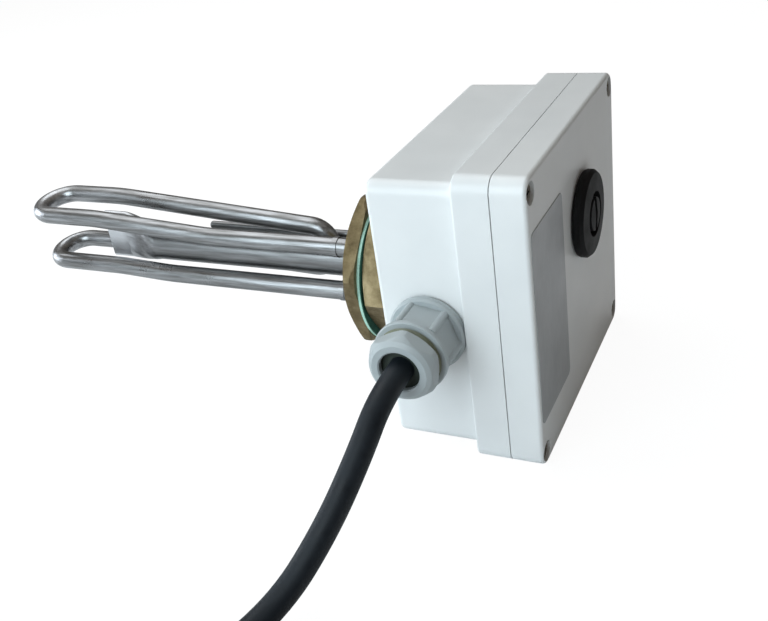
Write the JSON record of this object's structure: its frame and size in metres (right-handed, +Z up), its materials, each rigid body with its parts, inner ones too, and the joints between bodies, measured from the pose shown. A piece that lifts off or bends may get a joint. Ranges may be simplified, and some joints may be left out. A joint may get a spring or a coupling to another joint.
{
  "type": "screw-in immersion heater",
  "caption": "Screw-in immersion heater: folded steel heating tube and thermostat pocket in a brass plug, white thermostat box with knob, cable gland and cord with plug.",
  "frame": {"origin": "on the screw thread's axis, in the plane where the gasket meets the hexagon head", "axes": "+X from the thread through the box to its lid, -X along the heating tubes, +Z up, +Y away from the cable gland"},
  "size_m": [0.3894, 0.3734, 0.12],
  "materials": {
    "white_plastic": "moulded ABS, soft gloss",
    "grey_plastic": "moulded polyamide, satin",
    "dark_plastic": "moulded, satin",
    "knob_black": "moulded, satin",
    "seal_rubber": "matt elastomer",
    "cord_rubber": "matt rubber sheath",
    "tie_black": "woven strap",
    "brass": "forged and machined, dull",
    "green_fibre": "pressed fibre",
    "stainless_sheath": "drawn and annealed",
    "stainless_tube": "drawn tube",
    "copper": "drawn copper",
    "ceramic": "steatite",
    "plated_steel": "nickel plated",
    "screw_bronze": "dark bronze passivated",
    "core_insulation": "insulated wire"
  },
  "bodies": {
    "root": {"rear_box": "white_plastic", "lid": "white_plastic", "lid_seal": "seal_rubber", "lid_screws": "screw_bronze", "screw_plug": "brass", "backnut": "brass", "fibre_gasket": "green_fibre", "box_seal": "seal_rubber", "spigot_washer": "plated_steel", "spigot_nut": "brass", "heating_element": "stainless_sheath", "sheath_collars": "stainless_sheath", "insulating_beads": "ceramic", "terminal_pins": "plated_steel", "thermostat_pocket": "stainless_tube", "thermostat_bulb": "copper", "limiter_pocket": "stainless_tube", "limiter_bulb": "copper", "thermostat_body": "dark_plastic", "thermostat_bracket": "plated_steel", "thermostat_screws": "plated_steel", "gland_body": "grey_plastic", "gland_ring": "seal_rubber", "gland_locknut": "grey_plastic", "gland_nut": "grey_plastic", "gland_insert": "seal_rubber", "cable_entry": "cord_rubber", "supply_cord": "cord_rubber", "cord_coil": "cord_rubber", "cord_tie": "tie_black", "cord_tail": "cord_rubber", "plug_body": "cord_rubber", "plug_pins": "plated_steel", "plug_earth_strips": "plated_steel", "earth_tag": "plated_steel", "earth_screw": "brass", "capillary": "copper", "limiter_capillary": "copper", "live_core": "core_insulation", "neutral_core": "core_insulation", "earth_core": "core_insulation", "switched_lead": "core_insulation"},
    "knob": {"thermostat_knob": "knob_black", "thermostat_spindle": "plated_steel"}
  },
  "joints": [
    {"name": "knob_turn", "type": "hinge", "parent": "root", "child": "knob", "pos_m": [0.0847, 0.0065, 0.0262], "axis": [1, 0, 0], "range_deg": [0, 270]}
  ]
}
